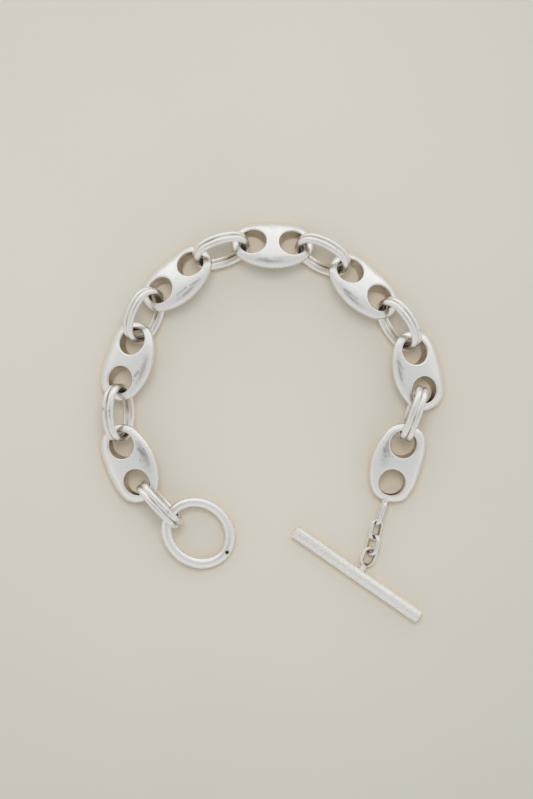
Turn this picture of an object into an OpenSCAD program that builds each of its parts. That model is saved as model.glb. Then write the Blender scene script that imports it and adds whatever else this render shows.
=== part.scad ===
// Link bracelet with a toggle clasp, laid out in an open C on a flat surface.
// Seven puffed links with two holes each are joined by seven oval links of doubled
// wire. One end carries the toggle ring, the other a short fine chain and the bar.
// X and Y lie on the surface, Z points up, sizes in millimetres. The origin lies on
// the surface, under the middle of the whole outline.

/* [Puffed links] */
// Length of a puffed link
puff_len = 18.7; // [16:0.1:22]
// Width of a puffed link across its middle
puff_w = 12.1; // [10.4:0.1:15]
// Thickness of a puffed link at its middle
puff_t = 4.2; // [3.6:0.1:6]
// Radius of the rounded ends, seen from above
puff_end_r = 4.8; // [4:0.1:5.5]
// Diameter of each hole
hole_d = 6.3; // [5.4:0.1:6.6]
// Distance between the two hole centres
hole_pitch = 9.1; // [8.4:0.1:9.6]

/* [Double-wire links] */
// Overall length of an oval link
oval_len = 13.4; // [12.6:0.1:15]
// Overall width of an oval link
oval_w = 9.6; // [8.6:0.1:10.4]
// Radius of the oval's ends, at the middle of the wire
oval_end_r = 3.6; // [2.6:0.1:3.8]
// Diameter of each of the two wires
oval_wire_d = 1.5; // [1.1:0.05:1.7]
// Distance between the middles of the two soldered wires
oval_wire_step = 1.34; // [1:0.02:1.4]

/* [Toggle ring] */
// Longest outer size of the toggle ring
ring_len = 17.9; // [16:0.1:24]
// Shortest outer size of the toggle ring
ring_w = 15.5; // [14:0.1:17]
// Diameter of the ring's wire
ring_wire_d = 2.15; // [1.4:0.05:2.6]

/* [Toggle bar] */
// Length of the bar
bar_len = 35; // [26:0.5:44]
// Diameter of the bar
bar_d = 3.05; // [2.2:0.05:3.6]
// Rounding of the edges at the bar's ends
bar_edge_r = 0.3; // [0.1:0.05:0.6]
// Length of the stub between the bar and its loop
stub_len = 0.9; // [0.3:0.1:1.6]
// Diameter of the stub
stub_d = 1.3; // [0.8:0.05:1.5]
// Distance of the stub from the bar's middle
stub_off = 0.4; // [0:0.1:2]

/* [Fine chain] */
// Overall length of a fine link
fine_len = 5.2; // [4.6:0.1:6]
// Overall width of a fine link
fine_w = 3.7; // [3.3:0.1:4.2]
// Diameter of the fine wire
fine_wire_d = 0.75; // [0.5:0.05:0.9]
// Length of the loop soldered to the last puffed link
end_loop_len = 6.5; // [5:0.1:7]
// Length of the loop soldered to the bar
bar_loop_len = 4.9; // [4.6:0.1:6]

/* [Fit] */
// Gap left between pieces that hang on each other
play = 0.1; // [0.05:0.01:0.2]

/* [Hidden] */
$fn = 64;

// Each arm runs outward from the middle puffed link, a row for each gap and the puffed
// link after it. A gap has its heading and the share of its slack that is taken up. Its
// oval link has a heading, a tilt, a dip of the far end and shifts out from the wrist
// space and along the arm, as shares of its wire. The puffed link has a heading, a lean,
// a dip of the far end, and the share of the free height inside its oval links by which
// it hangs in them.
GAP_TURN = 0;
GAP_SLACK = 1;
OVAL_TURN = 2;
OVAL_TILT = 3;
OVAL_DIP = 4;
OVAL_OUT = 5;
OVAL_ALONG = 6;
PUFF_TURN = 7;
PUFF_LEAN = 8;
PUFF_DIP = 9;
PUFF_HANG = 10;
ring_arm = [
    [200, 0.26, 197.5, 52, -4, 0.733, -0.033, 221, 29.9, 1.3, 0.76],
    [241, 0.49, 248.8, 43.6, 6.3, 0.7, 0, 252.8, 26, -2.4, 0.6],
    [270.5, 0.27, 271.4, 55.7, 0.7, 0.667, 0.033, 292.7, 19.4, 0, 0.97],
];
bar_arm = [
    [-26, 0.33, -28.6, 49.5, 2.8, 0.733, 0, -43.1, 28.8, -1, 0.77],
    [-56, 0.33, -56.8, 51.5, 1.2, 0.633, 0.067, -76, 23.6, 2.4, 1.4],
    [-110, 0.51, -109.4, 85.7, 3.7, -0.067, -0.467, -106.4, 8.5, 6.5, 1.28],
];
mid_place = [0, 2.1791 * puff_len];
mid_turn = -2;
mid_lean = 28;
mid_hang = 1.06;
// The upright oval link between the last hole and the toggle ring
end_oval_turn = -46.6;
end_oval_tilt = 94.6;
end_oval_side = -47;
end_oval_seat = 0.367 * oval_wire_d;
// The toggle ring, which rests on that link's lower wires
ring_side = -41;
ring_turn = -32;
ring_slack = 0.34;
// The fine chain and the bar. The end loop's far end comes down by this share of what
// would lay it on the surface, and the fine links lie shifted to the side of their line.
end_loop_turn = -110.2;
end_loop_tilt = 80;
end_loop_down = 0.8;
fine_turn = -102.8;
fine_tilt = 40;
fine_side = 0.333 * fine_wire_d;
// The bar's loop is lifted off the surface by the link below it, pushed back along that
// link by its slack and shifted to the side
bar_loop_turn = -114;
bar_loop_tilt = 17;
bar_loop_lift = 0.467 * fine_wire_d;
bar_loop_slack = 0.867 * fine_wire_d;
bar_loop_side = 0.52 * fine_wire_d;
bar_turn = -34.7;

// How much thinner an oval link's side arcs are, and by what angle they enter its ends
entry_step = oval_wire_d / 150;
entry_turn = 0.1;

puff_squash = puff_t / puff_w;
rim = (puff_len - hole_pitch - hole_d) / 2;
oval_inside = oval_len - 2 * oval_wire_d;
oval_strand = (oval_w - oval_wire_d) / 2;
// Hole centre to hole centre, with the links pulled taut and pushed together
gap_taut = oval_inside + hole_d;
gap_closed = hole_d + 2 * rim;
// Hole centre to ring centre, taut and pushed together
ring_taut = hole_d / 2 + oval_inside + ring_len / 2 - ring_wire_d;
ring_closed = hole_d / 2 + rim + ring_len / 2;
// Half the thickness of a puffed link at the outer wall of its hole
rim_half = puff_squash * half_width((hole_pitch + hole_d) / 2, puff_len / 2, puff_w / 2, puff_end_r);

function heading(turn) = [cos(turn), sin(turn)];
function side_r(a, b, r) = (pow(a - r, 2) + b * b - r * r) / (2 * (b - r));
function end_turn(a, b, r) = atan2(side_r(a, b, r) - b, a - r);
// Half the width of an oval of four arcs, at x from its middle
function half_width(x, a, b, r) =
    let (big = side_r(a, b, r))
    x < a - r + r * cos(end_turn(a, b, r)) ? sqrt(big * big - x * x) + b - big
        : sqrt(r * r - pow(x - a + r, 2));
function gap_len(row) = gap_taut - row[GAP_SLACK] * (gap_taut - gap_closed);
function mid_hole(side) = mid_place + side * hole_pitch / 2 * heading(mid_turn);
function near_hole(arm, side, k) =
    (k == 0 ? mid_hole(side) : far_hole(arm, side, k - 1))
    + gap_len(arm[k]) * heading(arm[k][GAP_TURN]);
function far_hole(arm, side, k) =
    near_hole(arm, side, k) + hole_pitch * heading(arm[k][PUFF_TURN]);
// Half the height of the room inside an oval link for the middle of a rod with radius r
function room(x, r) = half_width(x, oval_inside / 2 - r, oval_strand - oval_wire_d / 2 - r,
    oval_end_r - oval_wire_d / 2 - r);
function free(row) = room((gap_len(row) - hole_d) / 2, 0) - rim_half;
// Height of the middle of an oval link that rests on the surface
function oval_height(tilt, dip = 0) = norm([oval_strand * sin(tilt),
    (oval_len - oval_wire_d) / 2 * sin(dip)]) + oval_wire_step / 2 * abs(cos(tilt))
    + oval_wire_d / 2;
// A puffed link hangs between two oval links with these tilts, or lies on the surface
function puff_height(lean, tilt_1, tilt_2, hang) = max(
    norm([puff_w / 2 * sin(lean), puff_t / 2 * cos(lean)]),
    (oval_height(tilt_1) + oval_height(tilt_2)) / 2 - hang);
function next_tilt(arm, k) = k < 2 ? arm[k + 1][OVAL_TILT] : end_oval_tilt;
function arm_puff_height(arm, k) = puff_height(arm[k][PUFF_LEAN], arm[k][OVAL_TILT],
    next_tilt(arm, k), arm[k][PUFF_HANG] * free(arm[k]));
function fine_height(tilt) = (fine_w - fine_wire_d) / 2 * sin(tilt) + fine_wire_d / 2;

last_hole = far_hole(ring_arm, -1, 2);
end_oval_place = last_hole + (end_oval_seat + oval_len / 2) * heading(end_oval_side);
ring_place = last_hole
    + (ring_taut - ring_slack * (ring_taut - ring_closed)) * heading(ring_side);
// How far the ring's near wire passes from the middle of the upright oval link
ring_cross = norm(ring_place - end_oval_place) - (ring_len - ring_wire_d) / 2;
ring_rise = oval_height(end_oval_tilt) - room(ring_cross, ring_wire_d / 2 + 3 * play);
ring_dip = asin((ring_rise - ring_wire_d / 2) / (ring_len - ring_wire_d));
ring_height = (ring_rise + ring_wire_d / 2) / 2;

last_puff = bar_arm[2];
last_along = puff_len / 2 * cos(last_puff[PUFF_DIP]);
// Where the end loop is soldered to the tip of the last puffed link
loop_root = near_hole(bar_arm, 1, 2)
    + (hole_pitch / 2 + last_along) * heading(last_puff[PUFF_TURN]);
root_height = arm_puff_height(bar_arm, 2) - puff_len / 2 * sin(last_puff[PUFF_DIP]);
end_loop_half = end_loop_len / 2 - fine_wire_d / 2;
end_loop_dip = asin(end_loop_down * (root_height - fine_w / 2) / end_loop_half);
end_loop_place = loop_root + end_loop_half * cos(end_loop_dip) * heading(end_loop_turn);
end_loop_height = root_height - end_loop_half * sin(end_loop_dip);
fine_1_place = end_loop_place + ((end_loop_len / 2 - fine_wire_d) * cos(end_loop_dip)
    + fine_len / 2 - fine_wire_d - 3 * play) * heading(fine_turn)
    + fine_side * heading(fine_turn - 90);
fine_2_place = fine_1_place + (fine_len - 2 * fine_wire_d - play) * heading(fine_turn);
bar_loop_place = fine_2_place
    + ((fine_len + bar_loop_len) / 2 - 2 * fine_wire_d - bar_loop_slack)
        * heading(bar_loop_turn)
    + bar_loop_side * heading(bar_loop_turn + 90);
bar_loop_height = fine_height(bar_loop_tilt) + bar_loop_lift;
stub_from = bar_loop_place + (bar_loop_len - fine_wire_d) / 2 * heading(bar_loop_turn);
stub_reach = fine_wire_d / 2 + stub_len + bar_d / 2;
bar_place = stub_from + stub_reach * heading(bar_turn - 90)
    - stub_off * heading(bar_turn);

// Cross-section of the two wires, soldered side by side
module wire_pair(d) {
    for (side = [-1, 1]) translate([0, side * oval_wire_step / 2]) circle(d = d);
}

// Doubled wire round an oval of four arcs. The side arcs are a hair thinner than the
// ends and enter them a little way.
module oval_form() {
    a = (oval_len - oval_wire_d) / 2;
    big = side_r(a, oval_strand, oval_end_r);
    turn = end_turn(a, oval_strand, oval_end_r);
    for (half = [0, 180]) rotate(half) {
        translate([a - oval_end_r, 0]) rotate(-turn) rotate_extrude(angle = 2 * turn)
            translate([oval_end_r, 0]) wire_pair(oval_wire_d);
        translate([0, oval_strand - big]) rotate(turn - entry_turn)
            rotate_extrude(angle = 180 - 2 * (turn - entry_turn)) translate([big, 0])
                wire_pair(oval_wire_d - entry_step);
    }
}

// Flat oval of four arcs with half sizes a and b
module oval_plan(a, b, r) {
    big = side_r(a, b, r);
    join = a - r + r * cos(end_turn(a, b, r));
    intersection() {
        translate([0, b - big]) circle(big);
        translate([0, big - b]) circle(big);
        square([2 * join, 2 * b + 1], center = true);
    }
    for (side = [-1, 1]) translate([side * (a - r), 0]) circle(r);
}

// Link of fine wire with round ends and straight sides
module fine_form(len) {
    end_r = (fine_w - fine_wire_d) / 2;
    side = len - fine_wire_d - 2 * end_r;
    for (half = [0, 180]) rotate(half) {
        translate([side / 2, 0]) rotate(-90) rotate_extrude(angle = 180)
            translate([end_r, 0]) circle(d = fine_wire_d);
        translate([-side / 2, end_r]) rotate([0, 90, 0]) cylinder(d = fine_wire_d, h = side);
    }
}

// Puts a piece that lies flat along X in its place, dipped along X and tilted over
module place(at, height, turn, tilt = 0, dip = 0) {
    translate([at[0], at[1], height]) rotate([0, dip, turn]) rotate([tilt, 0, 0]) children();
}

module puffed_form() {
    $fn = 128;
    difference() {
        scale([1, 1, puff_squash]) rotate([0, 90, 0]) rotate_extrude() intersection() {
            rotate(90) oval_plan(puff_len / 2, puff_w / 2, puff_end_r);
            translate([0, -puff_len / 2]) square([puff_w / 2, puff_len]);
        }
        for (side = [-1, 1]) translate([side * hole_pitch / 2, 0, -puff_t])
            cylinder(d = hole_d, h = 2 * puff_t);
    }
}

module puff_link(at, height, turn, lean, dip = 0) {
    color("silver") place(at, height, turn, lean, dip) puffed_form();
}

module oval_link(at, turn, tilt, dip = 0) {
    color("gainsboro") place(at, oval_height(tilt, dip), turn, tilt, dip)
        oval_form();
}

module mid_link() {
    puff_link(mid_place, puff_height(mid_lean, ring_arm[0][OVAL_TILT], bar_arm[0][OVAL_TILT],
        mid_hang * free(ring_arm[0])), mid_turn, -mid_lean);
}

module arm_puff(arm, side, k) {
    puff_link(near_hole(arm, side, k) + hole_pitch / 2 * heading(arm[k][PUFF_TURN]),
        arm_puff_height(arm, k), arm[k][PUFF_TURN], -side * arm[k][PUFF_LEAN],
        arm[k][PUFF_DIP]);
}

module arm_oval(arm, side, k) {
    start = k == 0 ? mid_hole(side) : far_hole(arm, side, k - 1);
    along = heading(arm[k][GAP_TURN]);
    out = heading(arm[k][GAP_TURN] + side * 90);
    oval_link((start + near_hole(arm, side, k)) / 2
        + oval_wire_d * (arm[k][OVAL_OUT] * out + arm[k][OVAL_ALONG] * along),
        arm[k][OVAL_TURN], side * arm[k][OVAL_TILT], arm[k][OVAL_DIP]);
}

// The ring's round middle line is stretched along its length
module toggle_ring() {
    long = ring_len - ring_wire_d;
    short = ring_w - ring_wire_d;
    mean = sqrt(long * short);
    color("silver") place(ring_place, ring_height, ring_turn, 0, ring_dip)
        scale([long / mean, short / mean, 1]) rotate_extrude() translate([mean / 2, 0])
            circle(d = ring_wire_d);
}

// The last puffed link, with its loop soldered to the rounded end
module puff_link_7() {
    arm_puff(bar_arm, 1, 2);
    color("silver") place(end_loop_place, end_loop_height, end_loop_turn, end_loop_tilt,
        end_loop_dip) fine_form(end_loop_len);
}

module fine_link(at, height, tilt) {
    color("gainsboro") place(at, height, fine_turn, tilt) fine_form(fine_len);
}

module toggle_bar() {
    color("silver") {
        translate([bar_place[0], bar_place[1], bar_d / 2]) rotate([0, 90, bar_turn])
            translate([0, 0, -bar_len / 2]) rotate_extrude() {
                translate([0, bar_edge_r]) square([bar_d / 2, bar_len - 2 * bar_edge_r]);
                square([bar_d / 2 - bar_edge_r, bar_len]);
                for (z = [bar_edge_r, bar_len - bar_edge_r])
                    translate([bar_d / 2 - bar_edge_r, z]) circle(bar_edge_r);
            }
        place(bar_loop_place, bar_loop_height, bar_loop_turn, -bar_loop_tilt)
            fine_form(bar_loop_len);
        translate([stub_from[0], stub_from[1], bar_loop_height])
            rotate([0, 90, bar_turn - 90]) cylinder(d = stub_d, h = stub_reach);
    }
}

mid_link();  // puff_link_4
for (k = [0:2]) {
    arm_puff(ring_arm, -1, k);
    arm_oval(ring_arm, -1, k);
    arm_oval(bar_arm, 1, k);
}
for (k = [0:1])
    arm_puff(bar_arm, 1, k);
puff_link_7();
oval_link(end_oval_place, end_oval_turn, end_oval_tilt);  // oval_link_1
toggle_ring();
fine_link(fine_1_place, fine_height(fine_tilt), -fine_tilt);  // fine_link_1
fine_link(fine_2_place, fine_height(fine_tilt), fine_tilt);  // fine_link_2
toggle_bar();
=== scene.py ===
"""Looks of the link bracelet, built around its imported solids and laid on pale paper.

Puffed links, oval links, ring, fine links and bar are meshes made here in millimetres,
each in its own axes, and laid where the solid of the same name lies.
"""

import math

import bpy
import numpy as np
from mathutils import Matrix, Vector


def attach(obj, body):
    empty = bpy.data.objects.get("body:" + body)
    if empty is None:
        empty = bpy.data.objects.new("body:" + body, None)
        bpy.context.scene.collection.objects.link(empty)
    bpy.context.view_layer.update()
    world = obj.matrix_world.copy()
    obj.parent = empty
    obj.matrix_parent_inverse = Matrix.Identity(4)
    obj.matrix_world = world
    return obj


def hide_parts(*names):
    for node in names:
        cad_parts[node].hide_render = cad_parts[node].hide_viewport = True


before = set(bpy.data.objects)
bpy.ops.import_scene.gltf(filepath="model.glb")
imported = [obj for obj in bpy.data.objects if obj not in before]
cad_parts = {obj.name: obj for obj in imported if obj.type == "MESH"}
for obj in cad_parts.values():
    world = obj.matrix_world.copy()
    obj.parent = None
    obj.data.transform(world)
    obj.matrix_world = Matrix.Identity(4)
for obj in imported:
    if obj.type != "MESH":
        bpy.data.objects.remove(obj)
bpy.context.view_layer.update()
MM = 0.001
TINY = 1e-9

# Sizes in millimetres, as in the solids but for the holes, the oval links' wires and the ring
PUFF_LEN, PUFF_W, PUFF_T, PUFF_END_R = 18.7, 12.1, 4.2, 4.8
HOLE_D, HOLE_PITCH = 6.08, 9.2
OVAL_LEN, OVAL_W, OVAL_END_R, OVAL_WIRE, OVAL_STEP = 13.4, 9.6, 3.6, 1.56, 1.34
RING_LEN, RING_W, RING_WIRE = 17.95, 15.55, 2.3
BAR_LEN, BAR_D, BAR_EDGE = 35, 3.05, 0.3
STUB_LEN, STUB_D, STUB_OFF = 0.9, 1.3, 0.4
# Fine wire follows the path of the solids' wire and is a little thicker than that
FINE_LEN, FINE_W, FINE_WIRE, FINE_THICK = 5.2, 3.7, 0.75, 0.84
# Turn and tilt of the two soldered loops in degrees, and the height of the bar's loop
END_LOOP_LEN, END_LOOP_TURN, END_LOOP_TILT = 6.5, -110.2, 80
BAR_LOOP_LEN, BAR_LOOP_TURN, BAR_LOOP_TILT, BAR_LOOP_HEIGHT = 4.9, -114, -17, 1.157
# Middle of the space for the wrist, and the least height of a point over the paper
WRIST = np.array([-1.5, 4.5, 0])
FLOOR_GAP = 0.01
# Numbers of the puffed links, and of the oval links too
LINKS = range(1, 8)


# Where the solids lie

POSE_ROUNDS = 30


def solid_pose(node, skip=0, reach=None):
    """Middle and axes of a solid: X along it, Z up from its flat, Y out from the wrist.

    skip leaves out what lies nearer to its middle than this. reach measures a link with a
    loop at its far end only this far from its near end, and X points to the loop."""
    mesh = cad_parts[node].data
    mesh.calc_loop_triangles()
    points = np.empty(len(mesh.vertices) * 3)
    mesh.vertices.foreach_get("co", points)
    points = points.reshape(-1, 3) / MM
    corners = np.empty(len(mesh.loop_triangles) * 3, int)
    mesh.loop_triangles.foreach_get("vertices", corners)
    a, b, c = np.moveaxis(points[corners.reshape(-1, 3)], 1, 0)
    area = np.linalg.norm(np.cross(b - a, c - a), axis=1)
    mid = (a + b + c) / 3
    weight = area
    for _ in range(POSE_ROUNDS if skip or reach else 1):
        centre = weight @ mid / weight.sum()
        spread = (mid - centre) * weight[:, None]
        x, y, z = np.linalg.eigh(spread.T @ (mid - centre))[1][:, ::-1].T
        if skip:
            weight = area * np.clip(np.abs((mid - centre) @ x) - skip, 0, 1)
        if reach:
            x = x if (points.mean(0) - centre) @ x > 0 else -x
            near = ((points - centre) @ x).min()
            weight = area * np.clip(near + reach - (mid - centre) @ x, 0, 1)
    z = z if z[2] > 0 else -z
    if reach:
        return centre + (near + PUFF_LEN / 2) * x, np.stack([x, np.cross(z, x), z], 1)
    y = y if y @ (centre - WRIST) > 0 else -y
    return centre, np.stack([np.cross(y, z), y, z], 1)


def rotation(axis, degrees):
    """The matrix that turns about one of the three axes."""
    c, s = math.cos(math.radians(degrees)), math.sin(math.radians(degrees))
    u, v = (axis + 1) % 3, (axis + 2) % 3
    matrix = np.eye(3)
    matrix[[u, u, v, v], [u, v, u, v]] = c, -s, s, c
    return matrix


def heading_axes(turn, tilt, dip=0):
    """Axes of a flat piece that points along its heading, dipped and then tilted over."""
    return rotation(2, turn) @ rotation(1, dip) @ rotation(0, tilt)


# Meshes

SMOOTH_ROUNDS, SMOOTH_SHARE = 4, 0.5
SLOPE_STEP, SLOPE_LEAST, MOVE_MOST = 0.01, 0.05, 0.1
# Stations along and sides round the short round forms
SHORT_STEPS, SHORT_SIDES = 12, 24


def joined(parts):
    """Several closed meshes as one list of points and one of faces."""
    faces, start = [], 0
    for points, part_faces in parts:
        faces += [[v + start for v in face] for face in part_faces]
        start += len(points)
    return np.concatenate([points for points, _ in parts]), faces


def make_object(name, points, faces, material, marks):
    """A smooth object from points in millimetres, riding on the bracelet.

    marks are values for each point that its material reads, such as its painted shade."""
    points = np.maximum(points, [-np.inf, -np.inf, FLOOR_GAP])
    mesh = bpy.data.meshes.new(name)
    mesh.from_pydata((points * MM).tolist(), [], faces)
    mesh.polygons.foreach_set("use_smooth", [True] * len(mesh.polygons))
    for key, values in marks.items():
        layer = mesh.attributes.new(key, "FLOAT", "POINT")
        layer.data.foreach_set("value", values.astype(np.float32))
    mesh.materials.append(material)
    mesh.validate()
    piece = bpy.data.objects.new(name, mesh)
    bpy.context.scene.collection.objects.link(piece)
    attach(piece, "root")
    return piece


def ring_faces(rings, sides, closed):
    """Four-cornered faces between rings of points, one ring after the other."""
    i = np.arange(rings if closed else rings - 1)[:, None]
    j = np.arange(sides)[None, :]
    i2, j2 = (i + 1) % rings, (j + 1) % sides
    corners = [i2 * sides + j, i2 * sides + j2, i * sides + j2, i * sides + j]
    return np.stack(corners, -1).reshape(-1, 4).tolist()


def side_radius(a, b, r):
    """Radius of the side arcs of an oval with half sizes a and b and end radius r."""
    return ((a - r) ** 2 + b * b - r * r) / (2 * (b - r))


def four_arcs(a, b, r, count):
    """Points and outward normals along an oval of four arcs with half sizes a and b."""
    big = side_radius(a, b, r)
    turn = math.atan2(big - b, a - r)
    arcs = [(a - r, 0, r, -turn, turn), (0, b - big, big, turn, math.pi - turn),
            (r - a, 0, r, math.pi - turn, math.pi + turn),
            (0, big - b, big, math.pi + turn, 2 * math.pi - turn)]
    spans = [radius * (t1 - t0) for _, _, radius, t0, t1 in arcs]
    points, normals = [], []
    for (x, y, radius, t0, t1), span in zip(arcs, spans):
        n = max(4, round(count * span / sum(spans)))
        t = np.linspace(t0, t1, n, endpoint=False)
        normals.append(np.stack([np.cos(t), np.sin(t), 0 * t], 1))
        points.append(np.array([x, y, 0]) + radius * normals[-1])
    return np.concatenate(points), np.concatenate(normals)


def stadium(length, width, wire, count):
    """Points and outward normals along a loop with round ends and straight sides."""
    r = (width - wire) / 2
    side = length - wire - 2 * r
    t = np.linspace(-math.pi / 2, math.pi / 2, count, endpoint=False)
    s = np.linspace(0, 1, max(4, count // 3), endpoint=False)[:, None]
    end = np.stack([side / 2 + r * np.cos(t), r * np.sin(t), 0 * t], 1)
    run = np.array([side / 2, r, 0]) - s * np.array([side, 0, 0])
    half = np.concatenate([end, run])
    half_n = np.concatenate([np.stack([np.cos(t), np.sin(t), 0 * t], 1),
                             np.tile([0, 1, 0], (len(run), 1))])
    turn = np.array([-1, -1, 1])
    return np.concatenate([half, half * turn]), np.concatenate([half_n, half_n * turn])


def sweep(path, normals, reach, sides):
    """A closed tube in the path's plane, and the angle of each of its points. reach gives
    the section's radius by that angle (0 is outward, a quarter turn is up) and by the share
    of the way round the path."""
    t = np.linspace(0, 2 * math.pi, sides, endpoint=False)[None, :]
    s = np.linspace(0, 1, len(path), endpoint=False)[:, None]
    r = reach(t, s)
    out = (r * np.cos(t))[..., None] * normals[:, None, :]
    up = (r * np.sin(t))[..., None] * np.array([0, 0, 1])
    points = (path[:, None, :] + out + up).reshape(-1, 3)
    return points, ring_faces(len(path), sides, True), np.broadcast_to(t, r.shape).ravel()


def lathe(stations, radii, sides):
    """A closed round form along X with these radii at these stations."""
    t = np.linspace(0, 2 * math.pi, sides, endpoint=False)
    rings = [np.stack([np.full(sides, x), r * np.cos(t), r * np.sin(t)], 1)
             for x, r in zip(stations, radii)]
    points = np.concatenate(rings + [[[stations[0], 0, 0]], [[stations[-1], 0, 0]]])
    faces = ring_faces(len(stations), sides, False)
    last = (len(stations) - 1) * sides
    for j in range(sides):
        k = (j + 1) % sides
        faces.append([last + sides, j, k])
        faces.append([last + sides + 1, last + k, last + j])
    return points, faces


def waves(s, seed, count):
    """A smooth random wave round a closed path, between about -1 and 1."""
    rng = np.random.default_rng(seed)
    k = np.arange(1, count + 1)
    size, phase = rng.normal(size=count) / k ** 0.5, rng.uniform(0, 2 * math.pi, count)
    total = sum(size[i] * np.sin(2 * math.pi * k[i] * s + phase[i]) for i in range(count))
    return total / 2


SWELL_WAVES, SWELL_SPREAD, SWELL_SUM = 14, (0.7, 1.8), 3.7


def uneven(points, seed, size):
    """A smooth random height at each point, about 1 high, with swells of this size."""
    rng = np.random.default_rng(seed)
    total = np.zeros(len(points))
    for _ in range(SWELL_WAVES):
        way = rng.normal(size=3)
        way *= 2 * math.pi / (size * rng.uniform(*SWELL_SPREAD) * np.linalg.norm(way))
        total += np.sin(points @ way + rng.uniform(0, 2 * math.pi))
    return total / SWELL_SUM


def gradient(field, points):
    """The field's slope at each point."""
    steps = np.eye(3) * SLOPE_STEP
    return np.stack([(field(points + d) - field(points - d)) / (2 * SLOPE_STEP)
                     for d in steps], -1)


def onto_level(field, points):
    """Points moved once towards the field's zero level."""
    slope = gradient(field, points)
    size = np.maximum((slope ** 2).sum(-1, keepdims=True), SLOPE_LEAST)
    move = field(points)[..., None] * slope / size
    return points - np.clip(move, -MOVE_MOST, MOVE_MOST)


def skin(field, low, high, step):
    """Closed mesh of a field's zero level, made on a grid and drawn onto the level.

    Each grid cell that the level passes through gets a point, and each grid edge that it
    crosses gets a face between the points of the four cells around the edge."""
    lines = [np.arange(a, b + step, step) for a, b in zip(low, high)]
    grid = np.stack(np.meshgrid(*lines, indexing="ij"), -1)
    inside = field(grid) < 0
    cells = tuple(n - 1 for n in inside.shape)
    filled = np.zeros(cells, int)
    for dx, dy, dz in np.ndindex(2, 2, 2):
        filled += inside[dx:cells[0] + dx, dy:cells[1] + dy, dz:cells[2] + dz]
    mixed = (filled > 0) & (filled < 8)
    number = np.full(cells, -1)
    number[mixed] = np.arange(mixed.sum())
    points = grid[:-1, :-1, :-1][mixed] + step / 2
    faces = []
    for axis in range(3):
        flip = np.diff(inside.astype(int), axis=axis)
        u, v = [k for k in range(3) if k != axis]
        at = np.argwhere(flip != 0)
        at = at[(at[:, u] > 0) & (at[:, v] > 0)]
        corner = []
        for du, dv in ((0, 0), (1, 0), (1, 1), (0, 1)):
            cell = at.copy()
            cell[:, u] -= du
            cell[:, v] -= dv
            corner.append(number[tuple(cell.T)])
        quad = np.stack(corner, 1)
        turn = (flip[tuple(at.T)] > 0) ^ (axis == 1)
        quad[turn] = quad[turn][:, ::-1]
        faces.append(quad)
    faces = np.concatenate(faces)
    edges = np.concatenate([faces[:, [k, (k + 1) % 4]] for k in range(4)])
    for _ in range(SMOOTH_ROUNDS):
        points = onto_level(field, points)
        total = np.zeros_like(points)
        np.add.at(total, edges[:, 0], points[edges[:, 1]])
        np.add.at(total, edges[:, 1], points[edges[:, 0]])
        near = np.bincount(edges.ravel(), minlength=len(points))[:, None]
        points = points + SMOOTH_SHARE * (total / near - points)
    return onto_level(field, onto_level(field, points)), faces.tolist()


# Materials

class Net:
    """The nodes of one material or of the surround."""

    def __init__(self, tree):
        self.tree = tree

    def feed(self, node, values):
        """Sets a node's inputs, or joins them to outputs of other nodes."""
        for key, value in values.items():
            if isinstance(value, bpy.types.NodeSocket):
                self.tree.links.new(value, node.inputs[key])
            else:
                node.inputs[key].default_value = value

    def add(self, kind, values=None, **settings):
        """A new node with its settings and inputs."""
        node = self.tree.nodes.new("ShaderNode" + kind)
        for key, value in settings.items():
            setattr(node, key, value)
        self.feed(node, values or {})
        return node

    def place(self):
        """The place on the object, in metres."""
        return self.add("TexCoord").outputs["Object"]

    def mark(self, name):
        """A value that the mesh holds for each of its points."""
        return self.add("Attribute", attribute_name=name).outputs["Fac"]

    def noise(self, place, scale, detail):
        """Random clouds between 0 and 1."""
        values = {"Vector": place, "Scale": scale, "Detail": detail}
        return self.add("TexNoise", values).outputs["Fac"]

    def openness(self, distance, samples):
        """How open a place is, down to 0 where surfaces within the distance enclose it."""
        return self.add("AmbientOcclusion", {"Distance": distance}, samples=samples,
                        only_local=False).outputs["AO"]

    def mapped(self, value, span, result, **settings):
        """A value carried from one span onto another, and held at its ends."""
        values = {"Value": value, "From Min": span[0], "From Max": span[1],
                  "To Min": result[0], "To Max": result[1]}
        return self.add("MapRange", values, **settings).outputs["Result"]

    def calc(self, operation, first, second, **settings):
        """Two values added, subtracted or multiplied."""
        values = {0: first, 1: second}
        return self.add("Math", values, operation=operation, **settings).outputs[0]

    def scaled(self, colour, factor):
        """A colour times a value."""
        values = {0: colour, "Scale": factor}
        return self.add("VectorMath", values, operation="SCALE").outputs["Vector"]

    def tinted(self, colour, tint):
        """A colour times another colour."""
        values = {0: colour, 1: tint}
        return self.add("VectorMath", values, operation="MULTIPLY").outputs["Vector"]

    def ramp(self, value, stops, interpolation="LINEAR"):
        """A colour that follows a value through stops of position and colour."""
        ramp = self.add("ValToRGB", {"Fac": value})
        ramp.color_ramp.interpolation = interpolation
        elements = ramp.color_ramp.elements
        for k, (position, colour) in enumerate(stops):
            stop = elements[k] if k < 2 else elements.new(position)
            stop.position, stop.color = position, (*colour, 1)
        return ramp.outputs["Color"]

    def bump(self, height, strength, distance, normal=None):
        """Relief in the shading, on top of an earlier one if there is one."""
        values = {"Height": height, "Strength": strength, "Distance": distance}
        if normal is not None:
            values["Normal"] = normal
        return self.add("Bump", values).outputs["Normal"]


def shader(name):
    """A new material, the net of its nodes and its main shader."""
    material = bpy.data.materials.new(name)
    material.use_nodes = True
    return material, Net(material.node_tree), material.node_tree.nodes["Principled BSDF"]


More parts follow.
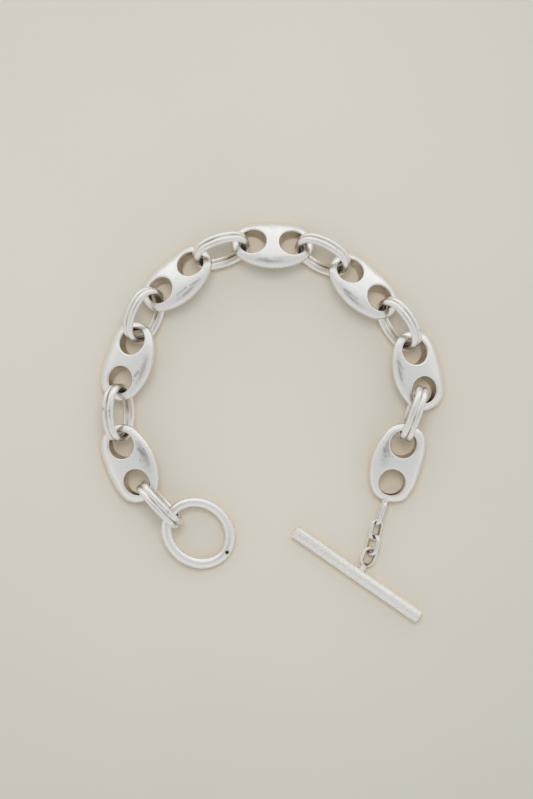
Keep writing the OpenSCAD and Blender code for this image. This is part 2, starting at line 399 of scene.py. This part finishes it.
# How fine the silver's features are, per metre, and how high their relief is, in metres
CLOUD_SCALE, GRAIN_SCALE, PIT_SCALE, SPECK_SCALE = 260, 2600, 1500, 3400
SCRATCH_SCALE, SCRATCH_TURN = (900, 5200, 900), (0.2, 0.1, 0.6)
GRAIN_RELIEF, PIT_RELIEF = 0.00003, 0.00004
PIT_SPAN, SPECK_SPAN = (0, 0.16), (0.52, 0.72)
# How near surfaces form a crevice, in metres, how open it is and how much painted shade that
# gives
CREVICE, CREVICE_SPAN, CREVICE_SHADE = 0.0009, (0.15, 0.62), (0.95, 0)
# Clouds that make the painted shade uneven
SHADE_CLOUDS, SHADE_FACTORS = (0.3, 0.7), (0.7, 1.25)
GLOSS_CLOUDS, GLOSS_LESS, GLOSS_MORE = (0.25, 0.75), 0.06, 0.08
# Colours of the painted shade, which the dark specks share, and where the thin one lies
SHADE_THIN_TONE, SHADE_DEEP_TONE, THIN_AT = (0.56, 0.46, 0.33), (0.05, 0.04, 0.024), 0.4


def silver(name, tone, rough, scratch, pits, grain=0.15, speckle=0.0):
    """Polished silver: uneven gloss, fine scratches, tiny pits, dark specks and painted shade.
    """
    material, net, shade = shader(name)
    place = net.place()
    cloud = net.noise(place, CLOUD_SCALE, 4)
    stretched = net.add("Mapping", {"Vector": place, "Scale": SCRATCH_SCALE,
                                    "Rotation": SCRATCH_TURN}).outputs["Vector"]
    cells = net.add("TexVoronoi", {"Vector": place, "Scale": PIT_SCALE}).outputs["Distance"]
    # Painted shade also darkens wherever other surfaces lie close, such as where two links meet
    crevice = net.mapped(net.openness(CREVICE, 12), CREVICE_SPAN, CREVICE_SHADE)
    speck = net.mapped(net.noise(place, SPECK_SCALE, 2), SPECK_SPAN, (0, speckle))
    # Painted shade from the mesh's marks and from crevices, plus dark specks in the metal
    painted_shade = net.calc("ADD", net.calc("ADD", net.mark("painted_shade"), crevice), speck)
    spread = net.mapped(cloud, SHADE_CLOUDS, SHADE_FACTORS)
    dark = net.calc("MULTIPLY", painted_shade, spread, use_clamp=True)
    colour = net.ramp(dark, [(0, tone), (THIN_AT, SHADE_THIN_TONE), (1, SHADE_DEEP_TONE)])
    # Nicks darken the colour: on the puffed links that is partly a painted reflection, on the
    # bar a painted shade line
    bare = net.calc("SUBTRACT", 1.0, net.mark("nicks_and_painted_dark"))
    gloss = net.mapped(cloud, GLOSS_CLOUDS, (rough - GLOSS_LESS, rough + GLOSS_MORE))
    normal = net.bump(net.noise(stretched, 1, 2), scratch, GRAIN_RELIEF)
    normal = net.bump(net.noise(place, GRAIN_SCALE, 3), grain, GRAIN_RELIEF, normal)
    normal = net.bump(net.mapped(cells, PIT_SPAN, (0, 1)), pits, PIT_RELIEF, normal)
    net.feed(shade, {"Base Color": net.scaled(colour, bare), "Metallic": 1, "Normal": normal,
                     "Roughness": net.calc("ADD", gloss, dark, use_clamp=True)})
    return material


PAPER_CLOUD_SCALE, PAPER_GRAIN_SCALE = 9, 1800
PAPER_TONES = [(0.3, (0.636, 0.606, 0.538)), (0.7, (0.658, 0.629, 0.568))]
PAPER_NEAR = (0.78, 0.662, 0.50, 1)
NEAR_METAL, NEAR_SPAN = 0.005, (0.15, 0.89)
# Painted pool of light: the paper is lightest at this place and fades with the distance from it
# in metres
LIGHT_PLACE, FADE_SPAN, FADE_TO = (-0.02, 0.035, 0), (0.03, 0.16), 0.90
PAPER_BUMP, PAPER_RELIEF = 0.15, 0.00005


def paper():
    """Warm pale paper with a faint grain and soft clouds of tone, a painted pool of light that
    fades away from one place, and a painted warm glow of bounced light beside the metal.
    """
    material, net, shade = shader("paper")
    place = net.place()
    tone = net.ramp(net.noise(place, PAPER_CLOUD_SCALE, 3), PAPER_TONES)
    away = net.add("VectorMath", {0: place, 1: LIGHT_PLACE}, operation="DISTANCE")
    fade = net.mapped(away.outputs["Value"], FADE_SPAN, (1, FADE_TO),
                      interpolation_type="SMOOTHSTEP")
    # Light that the metal throws back warms the paper beside and under it
    open_air = net.mapped(net.openness(NEAR_METAL, 16), NEAR_SPAN, (0, 1))
    blend = net.add("Mix", data_type="RGBA")
    net.feed(blend, {0: open_air, 6: PAPER_NEAR, 7: net.scaled(tone, fade)})
    normal = net.bump(net.noise(place, PAPER_GRAIN_SCALE, 4), PAPER_BUMP, PAPER_RELIEF)
    net.feed(shade, {"Base Color": blend.outputs[2], "Roughness": 0.9,
                     "Specular IOR Level": 0.1, "Normal": normal})
    return material


PUFF_SILVER = silver("puffed_silver", (0.92, 0.915, 0.90), 0.23, scratch=0.6, pits=0.4)
WIRE_SILVER = silver("wire_silver", (0.93, 0.925, 0.91), 0.26, scratch=0.4, pits=0.2)
# The ring's tone is lighter than that of the links: a painted highlight for its brighter sheen
RING_SILVER = silver("ring_silver", (0.97, 0.965, 0.95), 0.28, scratch=0.5, pits=0.4)
BAR_SILVER = silver("bar_silver", (0.98, 0.975, 0.96), 0.52, scratch=0.6, pits=0.9,
                    grain=0.7, speckle=0.16)


# Loops of fine wire

FINE_STEPS, FINE_SIDES, FINE_WAVES = 28, 20, 0.02
# Where a loop is soldered shut, as shares of the way round it, and how much thicker it is
JOINT_AT, JOINT_LEN, JOINT_MORE = 0.37, 0.02, 0.05
# Painted shade on the inner side of a fine loop, at its darkest
FINE_SHADE = 0.45


def fine_loop(length, seed):
    """A loop of fine wire, a little uneven, with its painted shade, which is on its inner side.
    """
    path, normals = stadium(length, FINE_W, FINE_WIRE, FINE_STEPS)

    def reach(t, s):
        joint = JOINT_MORE * np.exp(-((s - JOINT_AT) / JOINT_LEN) ** 2)
        return FINE_THICK / 2 * (1 + joint + FINE_WAVES * waves(s, seed, count=5)) + 0 * t

    points, faces, angle = sweep(path, normals, reach, FINE_SIDES)
    return points, faces, FINE_SHADE * np.clip(-np.cos(angle), 0, 1) ** 2


# Puffed links

PUFF_STEP = 0.17
# Space left round a link for the grid that its skin is made on
ROOM_LOW, ROOM_HIGH = np.array([0.5, 0.6, 0.5]), np.array([0.5, 0.9, 0.5])
# Power of the curve across a link, where 2 is an ellipse, and rounding of the holes' edges
PUFF_POWER, HOLE_ROUND = 2.3, 0.5
# Least slope that a distance is divided by
STEEP_LEAST = 0.3
# How far the outer side is drawn in at the bridge and how much fuller it is by the holes,
# as shares of the width, with where along and across the link that is reached
BRIDGE_IN, HOLES_OUT, OUT_X, OUT_Y = 0.045, 0.27, 8.1, 1.5


def puffed_field(p):
    """Distance to the skin of a puffed link in its own axes, negative inside."""
    x, y, z = np.abs(p[..., 0]), p[..., 1], np.abs(p[..., 2])
    fuller = HOLES_OUT * (x / OUT_X) ** 2 - BRIDGE_IN
    y = np.abs(y) / (1 + fuller * np.clip(y / OUT_Y, 0, 1))
    a, b, r = PUFF_LEN / 2, PUFF_W / 2, PUFF_END_R
    big, squash = side_radius(a, b, r), PUFF_T / PUFF_W
    # From above the link is an oval of four arcs, and rho joins y and z to one way across it
    rho = (y ** PUFF_POWER + (z / squash) ** PUFF_POWER) ** (1 / PUFF_POWER) + TINY
    side = (a - r) * (rho + big - b) - (big - b) * x > 0
    from_x, from_rho = x - np.where(side, 0, a - r), rho - np.where(side, b - big, 0)
    far = np.hypot(from_x, from_rho) + TINY
    # How much faster this distance grows than the true one
    slope_y = (y / rho) ** (PUFF_POWER - 1)
    slope_z = (z / squash / rho) ** (PUFF_POWER - 1) / squash
    steep = np.sqrt((from_x / far) ** 2 + (from_rho / far) ** 2 * (slope_y ** 2 + slope_z ** 2))
    body = (far - np.where(side, big, r)) / np.maximum(steep, STEEP_LEAST)
    hole = HOLE_D / 2 - np.hypot(x - HOLE_PITCH / 2, p[..., 1])
    edge = np.hypot(np.maximum(body + HOLE_ROUND, 0), np.maximum(hole + HOLE_ROUND, 0))
    return np.minimum(-HOLE_ROUND, np.maximum(body, hole)) + edge


puff_half = np.array([PUFF_LEN, PUFF_W, PUFF_T]) / 2
puff_points, puff_faces = skin(puffed_field, -puff_half - ROOM_LOW, puff_half + ROOM_HIGH,
                               PUFF_STEP)
puff_normals = gradient(puffed_field, puff_points)
puff_normals /= np.linalg.norm(puff_normals, axis=1, keepdims=True)

# Painted shade on the holes' walls, darker towards the link's end, where the next link hangs
WALL_LEAN, WALL_REACH, WALL_SHADE, END_SHADE = 1.6, 0.3, 0.32, 0.75
puff_x = np.abs(puff_points[:, 0]) - HOLE_PITCH / 2
hole_wall = np.clip(1 - np.abs(puff_normals[:, 2]) * WALL_LEAN, 0, 1) * (
    np.hypot(puff_x, puff_points[:, 1]) < HOLE_D / 2 + WALL_REACH)
end_wall = np.clip(puff_x / (HOLE_D / 2), 0, 1)
puff_shade = hole_wall * (WALL_SHADE + END_SHADE * end_wall ** 2)

# Unevenness of each link: height, size of the swells, first seed
SWELLS = [(0.020, 3.2, 0), (0.005, 1.0, 20)]
# How much fuller the outer side of each puffed link is than its solid, in millimetres,
# and from where, over what width and with what power this comes in
FULLER = {1: 0.35, 2: 0.5, 3: 0.15, 4: 0.25, 5: 0.1, 6: 0.5, 7: 0}
FULLER_FROM, FULLER_RUN, FULLER_POWER = 2.6, 3.4, 1.5
# Nicks in the tops, dents whose darkness is also a painted reflection of the patch overhead:
# link, both ends in the link's own axes, width, depth, darkness
NICKS = [
    (1, 2.3, -3.8, 0.6, -4.5, 0.28, 0.03, 0.36),
    (1, -0.25, -3.3, -0.25, -3.3, 0.26, 0.05, 0.26),
    (2, -1.8, -4.1, -2.9, -3.6, 0.32, 0.03, 0.36),
    (2, -3.8, -3.4, -4.0, -3.3, 0.22, 0.03, 0.25),
    (3, -2.4, -4.2, 0.2, -4.4, 0.20, 0.02, 0.25),
    (3, 0.25, -4.3, 0.25, -4.3, 0.24, 0.04, 0.24),
    (3, 1.2, -4.6, 3.9, -4.8, 0.18, 0.02, 0.22),
    (4, -3.9, -4.9, -1.2, -4.7, 0.20, 0.01, 0.10),
    (4, 0.4, -4.5, 3.6, -4.0, 0.18, 0.01, 0.10),
    (5, -2.3, -4.8, 1.1, -4.6, 0.22, 0.02, 0.18),
    (6, -3.5, -4.9, -1.3, -4.3, 0.24, 0.02, 0.20),
    (7, -2.5, -3.9, -2.0, -3.7, 0.30, 0.03, 0.34),
    (7, -1.2, -3.4, -1.2, -3.4, 0.22, 0.05, 0.30),
]
# The link with the loop, how much of its end is left out when its place is measured, how
# far the loop drops as a share of its height, and its share of a fine loop's painted shade
LOOPED, LOOP_ROOM, LOOP_DROP, LOOP_SHADE = 7, 1.5, 0.8, 0.2
# Solder round the loop's foot: start and length along the loop, first radius, its curve
NECK_START, NECK_LEN, NECK_R, NECK_POWER = -1.4, 2.5, 1.3, 0.8


def puffed_link(i):
    """Points of one puffed link in its own axes, and how dark its nicks make them, partly as a
    painted reflection.
    """
    swell = sum(height * uneven(puff_points, seed + i, size) for height, size, seed in SWELLS)
    points = puff_points + puff_normals * swell[:, None]
    dark = np.zeros(len(points))
    for link, x0, y0, x1, y1, width, depth, darkness in NICKS:
        if link == i:
            start, run = np.array([x0, y0]), np.array([x1 - x0, y1 - y0])
            share = np.clip((points[:, :2] - start) @ run / max(run @ run, TINY), 0, 1)
            away = points[:, :2] - start - share[:, None] * run
            dip = np.exp(-(away ** 2).sum(1) / width ** 2) * (puff_normals[:, 2] > 0)
            points -= puff_normals * (depth * dip)[:, None]
            dark += darkness * dip
    fuller = np.clip((points[:, 1] - FULLER_FROM) / FULLER_RUN, 0, 1) ** FULLER_POWER
    points[:, 1] += FULLER[i] * fuller
    return points, dark


def end_loop(tip):
    """The loop at a link's tip with the solder round its foot, and its painted shade."""
    half = (END_LOOP_LEN - FINE_WIRE) / 2
    dip = math.degrees(math.asin(LOOP_DROP * (tip[2] - FINE_W / 2) / half))
    turned = heading_axes(END_LOOP_TURN, END_LOOP_TILT, dip)
    loop, loop_faces, loop_shade = fine_loop(END_LOOP_LEN, seed=70)
    run = np.linspace(0, 1, SHORT_STEPS)
    radii = NECK_R + (FINE_THICK / 2 - NECK_R) * run ** NECK_POWER
    neck, neck_faces = lathe(NECK_START + NECK_LEN * run, radii, SHORT_SIDES)
    points, faces = joined([(loop + [half, 0, 0], loop_faces), (neck, neck_faces)])
    painted_shade = np.concatenate([LOOP_SHADE * loop_shade, np.zeros(len(neck))])
    return points @ turned.T + tip, faces, painted_shade


for i in LINKS:
    node = f"puff_link_{i}"
    centre, axes = solid_pose(node, reach=PUFF_LEN - LOOP_ROOM if i == LOOPED else None)
    local, nick_and_reflection_dark = puffed_link(i)
    points, faces, painted_shade = local @ axes.T + centre, puff_faces, puff_shade
    if i == LOOPED:
        loop, loop_faces, loop_shade = end_loop(centre + axes[:, 0] * PUFF_LEN / 2)
        points, faces = joined([(points, faces), (loop, loop_faces)])
        painted_shade = np.concatenate([painted_shade, loop_shade])
        nick_and_reflection_dark = np.concatenate([nick_and_reflection_dark, np.zeros(len(loop))])
    piece = make_object(f"puffed_{i}", points, faces, PUFF_SILVER,
                        {"painted_shade": painted_shade, "nicks_and_painted_dark": nick_and_reflection_dark})
    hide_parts(node)


# Oval links of doubled wire

OVAL_STEPS, OVAL_SIDES = 200, 64
# Solder in the groove as shares of half the wires' step, and the wires' unevenness
FILL, FILL_WAVES, FILL_LEAST, OVAL_WAVES = 0.07, 0.03, 0.03, 0.012
# Width of the painted shade in the groove as a sine, its darkness and how much that varies
GROOVE_W, GROOVE_SHADE, GROOVE_WAVES = 0.22, 0.26, 0.3
# Painted shade inside the two ends, where an oval link hooks into its neighbours
HOOK_GAIN, HOOK_FROM, HOOK_SHADE = 1.6, 1.05, 0.8
# Dark nicks in the oval links: link, place in its own axes, radius, darkness
OVAL_NICKS = [
    (1, -2.5, 4.5, 0.8, 0.35, 0.40),
    (1, -5.4, 2.6, 0.1, 0.60, 0.45),
    (2, 1.0, 4.8, -0.8, 0.35, 0.55),
    (2, 0.5, 4.7, 0.95, 0.28, 0.40),
    (2, -0.5, 4.7, 0.95, 0.25, 0.30),
    (5, 2.0, 4.6, 0.7, 0.25, 0.30),
    (6, 3.8, 4.1, -0.7, 0.30, 0.35),
    (7, -1.0, -3.3, 0.5, 0.40, 0.45),
    (7, 2.1, -3.1, 0.9, 0.28, 0.35),
]


def oval_link(i):
    """Mesh of one oval link in its own axes, with its painted shade and nicks."""
    path, normals = four_arcs((OVAL_LEN - OVAL_WIRE) / 2, (OVAL_W - OVAL_WIRE) / 2,
                              OVAL_END_R, OVAL_STEPS)

    def doubled(t, s):
        # Two round wires side by side, with solder in the groove between them
        fill = np.maximum(FILL + FILL_WAVES * waves(s, 10 * i, count=9), FILL_LEAST)
        wire = OVAL_WIRE / 2 * (1 + OVAL_WAVES * waves(s, 10 * i + 1, count=7))
        c = OVAL_STEP / 2
        return c * np.sqrt(np.sin(t) ** 2 + fill ** 2) + np.sqrt(
            wire ** 2 - (c * np.cos(t)) ** 2)

    points, faces, angle = sweep(path, normals, doubled, OVAL_SIDES)
    s = np.repeat(np.linspace(0, 1, len(path), endpoint=False), OVAL_SIDES)
    groove = np.exp(-(np.sin(angle) / GROOVE_W) ** 2)
    varied = GROOVE_SHADE + GROOVE_WAVES * waves(s, 10 * i + 2, count=12)
    painted_shade = groove * np.clip(varied, 0, 1)
    hook = np.clip(np.abs(np.cos(2 * math.pi * s)) * HOOK_GAIN - HOOK_FROM, 0, 1)
    painted_shade += hook * np.clip(-np.cos(angle), 0, 1) * HOOK_SHADE
    nicks_and_painted_dark = np.zeros(len(points))
    for link, x, y, z, radius, darkness in OVAL_NICKS:
        if link == i:
            nicks_and_painted_dark += darkness * np.exp(-((points - [x, y, z]) ** 2).sum(1) / radius ** 2)
    return points, faces, painted_shade, nicks_and_painted_dark


for i in LINKS:
    node = f"oval_link_{i}"
    centre, axes = solid_pose(node)
    points, faces, painted_shade, nicks_and_painted_dark = oval_link(i)
    piece = make_object(f"double_wire_{i}", points @ axes.T + centre, faces, WIRE_SILVER,
                        {"painted_shade": painted_shade, "nicks_and_painted_dark": nicks_and_painted_dark})
    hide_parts(node)


# Toggle ring, with one small round pit

RING_STEPS, RING_SIDES = 240, 48
# The wire is thinnest at this angle, on the middle link's side of the ring, and grows by
# twice this share to the far side
RING_THIN, RING_GROWS, RING_WAVES = math.radians(302), 0.05, 0.012
# How far the path is moved out on both these sides and in a quarter turn from them
RING_ROUNDER = 0.15
RING_PIT, RING_PIT_R = np.array([-8.0, 0.37, RING_WIRE / 2]), 0.36
# Painted shade in the pit, and the most of it
PIT_SHADE, PIT_SHADE_MOST = 1.6, 0.95


def ring():
    """Mesh of the toggle ring in its own axes, and the painted shade in its pit."""
    t = np.linspace(0, 2 * math.pi, RING_STEPS, endpoint=False)
    a, b = (RING_LEN - RING_WIRE) / 2, (RING_W - RING_WIRE) / 2
    path = np.stack([a * np.cos(t), b * np.sin(t), 0 * t], 1)
    normals = np.stack([b * np.cos(t), a * np.sin(t), 0 * t], 1)
    normals /= np.linalg.norm(normals, axis=1, keepdims=True)
    path += RING_ROUNDER * np.cos(2 * (t - RING_THIN))[:, None] * normals

    def reach(t, s):
        growth = RING_GROWS * (1 - np.cos(2 * math.pi * s - RING_THIN))
        return RING_WIRE / 2 * (1 + growth + RING_WAVES * waves(s, seed=5, count=6)) + 0 * t

    points, faces, _ = sweep(path, normals, reach, RING_SIDES)
    dip = np.exp(-(np.linalg.norm(points - RING_PIT, axis=1) / RING_PIT_R) ** 2)
    points[:, 2] -= RING_PIT_R * dip
    return points, faces, np.clip(PIT_SHADE * dip, 0, PIT_SHADE_MOST)


centre, axes = solid_pose("toggle_ring")
points, faces, painted_shade = ring()
piece = make_object("ring", points @ axes.T + centre, faces, RING_SILVER,
                    {"painted_shade": painted_shade})
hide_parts("toggle_ring")


# Fine links

for i in (1, 2):
    node = f"fine_link_{i}"
    centre, axes = solid_pose(node)
    points, faces, painted_shade = fine_loop(FINE_LEN, seed=30 + i)
    piece = make_object(f"fine_{i}", points @ axes.T + centre, faces, WIRE_SILVER,
                        {"painted_shade": painted_shade})
    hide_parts(node)


# Toggle bar with its loop and stub

BAR_SIDES, BAR_STEPS, EDGE_STEPS = 96, 160, 7
# The facet leans from the top by an angle, its depth is a share of the bar's radius, and
# it fades in along the bar from FACET_END over FACET_FADE
FACET_LEAN, FACET_DEPTH, FACET_END, FACET_FADE = math.radians(38), 0.035, 1.5, 3
# The painted shade line along the facet's edge: darkness, width as an angle, start and run
# along the bar
LINE_DARK, LINE_W, LINE_START, LINE_RUN = 0.22, 0.06, 5, 5
# The painted shadow at the loop's foot: how far towards the bar it lies, and its radius
FOOT_IN, FOOT_R = 0.35, 0.5
# The bar's place is measured without what lies nearer to its middle than this
BAR_SKIP = 4


def plain_bar():
    """Mesh of the bar in its own axes with its facet, and the painted shade line along that."""
    flat_end = BAR_LEN / 2 - BAR_EDGE
    turn = np.linspace(0, math.pi / 2, EDGE_STEPS)
    edge_x = flat_end + BAR_EDGE * np.sin(turn)
    edge_r = BAR_D / 2 - BAR_EDGE + BAR_EDGE * np.cos(turn)
    middle = np.linspace(-flat_end, flat_end, BAR_STEPS)[1:-1]
    radii = np.concatenate([edge_r[::-1], np.full(len(middle), BAR_D / 2), edge_r])
    points, faces = lathe(np.concatenate([-edge_x[::-1], middle, edge_x]), radii, BAR_SIDES)
    x, y, z = points.T
    line = np.arctan2(y, z) - FACET_LEAN + math.acos(1 - FACET_DEPTH)
    nicks_and_painted_dark = LINE_DARK * np.exp(-(line / LINE_W) ** 2) * np.clip(
        -(x + LINE_START) / LINE_RUN, 0, 1)
    way = np.array([0, math.sin(FACET_LEAN), math.cos(FACET_LEAN)])
    share = np.clip((FACET_END - x) / FACET_FADE, 0, 1)
    over = points @ way - BAR_D / 2 * (1 - FACET_DEPTH * share)
    return points - np.maximum(over, 0)[:, None] * way, faces, nicks_and_painted_dark


centre, axes = solid_pose("toggle_bar", skip=BAR_SKIP)
along = axes[:, 0] * np.sign(axes[0, 0])
across = np.cross([0, 0, 1], along)
bar, bar_faces, facet_line_shade = plain_bar()
bar = bar @ np.stack([along, across, [0, 0, 1]]) + centre

stub_reach = FINE_WIRE / 2 + STUB_LEN + BAR_D / 2
foot = centre + along * STUB_OFF + across * stub_reach
foot[2] = BAR_LOOP_HEIGHT
loop, loop_faces, loop_shade = fine_loop(BAR_LOOP_LEN, seed=90)
loop -= [(BAR_LOOP_LEN - FINE_WIRE) / 2, 0, 0]
loop = loop @ heading_axes(BAR_LOOP_TURN, BAR_LOOP_TILT).T + foot
stub, stub_faces = lathe(np.linspace(0, stub_reach, SHORT_STEPS),
                         np.full(SHORT_STEPS, STUB_D / 2), SHORT_SIDES)
stub = stub @ np.stack([-across, np.cross([0, 0, 1], -across), [0, 0, 1]]) + foot
points, faces = joined([(bar, bar_faces), (loop, loop_faces), (stub, stub_faces)])
painted_shade = np.concatenate([np.zeros(len(bar)), loop_shade, np.zeros(len(stub))])
painted_shade += np.exp(-((points - foot - across * FOOT_IN) ** 2).sum(1) / FOOT_R ** 2)
nicks_and_painted_dark = np.concatenate([facet_line_shade, np.zeros(len(loop) + len(stub))])
piece = make_object("bar", points, faces, BAR_SILVER,
                    {"painted_shade": painted_shade, "nicks_and_painted_dark": nicks_and_painted_dark})
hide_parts("toggle_bar")


# Floor, light and camera

bpy.ops.mesh.primitive_plane_add(size=4, location=(0, 0, 0))
floor = bpy.context.object
floor.name = "floor"
floor.data.materials.append(paper())

scene = bpy.context.scene
world = bpy.data.worlds.new("surround")
scene.world = world
world.use_nodes = True
sky = Net(world.node_tree)
look = sky.add("TexCoord").outputs["Generated"]


def towards(direction):
    """How far the looked-at direction lies towards a direction, from -1 to 1."""
    values = {0: look, 1: Vector(direction).normalized()}
    return sky.add("VectorMath", values, operation="DOT_PRODUCT").outputs["Value"]


def greys(value, stops):
    """A grey that follows a value softly through stops of position and grey."""
    return sky.ramp(value, [(position, (grey,) * 3) for position, grey in stops], "EASE")


# Greys of the surround by height, towards its bright side, and in a dark patch overhead
HEIGHT_SHADES = [(0.0, 0.80), (0.28, 0.76), (0.52, 0.68), (0.8, 0.66), (1.0, 0.655)]
SIDE_SHADES = [(0.0, 1.0), (0.5, 0.95), (0.62, 0.98), (0.70, 1.04), (0.80, 1.28), (1.0, 1.30)]
PATCH_SHADES = [(0.962, 1.0), (0.980, 0.64), (0.990, 0.42), (1.0, 0.38)]
BRIGHT_SIDE, PATCH_AT, SKY_TINT = (0.08, 1.0, 0.0), (-0.05, 0.02, 1), (1.0, 1.0, 0.995)
light = sky.tinted(greys(towards((0, 0, 1)), HEIGHT_SHADES),
                   greys(sky.mapped(towards(BRIGHT_SIDE), (-1, 1), (0, 1)), SIDE_SHADES))
light = sky.tinted(light, greys(towards(PATCH_AT), PATCH_SHADES))
sky.feed(world.node_tree.nodes["Background"], {"Color": sky.tinted(light, SKY_TINT),
                                               "Strength": 1.0})

lamp = bpy.data.lights.new("lamp", "AREA")
lamp.shape = "DISK"
lamp.size = 0.45
lamp.energy = 2.5
lamp_object = bpy.data.objects.new("lamp", lamp)
lamp_object.location = (0.0, 0.24, 0.8)
lamp_object.rotation_euler = (-lamp_object.location).to_track_quat("-Z", "Y").to_euler()
lamp_object.visible_glossy = False
scene.collection.objects.link(lamp_object)

PHOTO_ROWS, MM_PER_PIXEL = 799, 0.2315
CAMERA_X, CAMERA_Y, CAMERA_HEIGHT = -0.001435, 0.005195, 0.550
camera = bpy.data.cameras.new("camera")
camera.sensor_fit = "VERTICAL"
camera.sensor_height = 24
camera.lens = camera.sensor_height * CAMERA_HEIGHT / (PHOTO_ROWS * MM_PER_PIXEL * MM)
camera_object = bpy.data.objects.new("camera", camera)
camera_object.location = (CAMERA_X, CAMERA_Y, CAMERA_HEIGHT)
scene.collection.objects.link(camera_object)
scene.camera = camera_object
scene.view_settings.view_transform = "Standard"
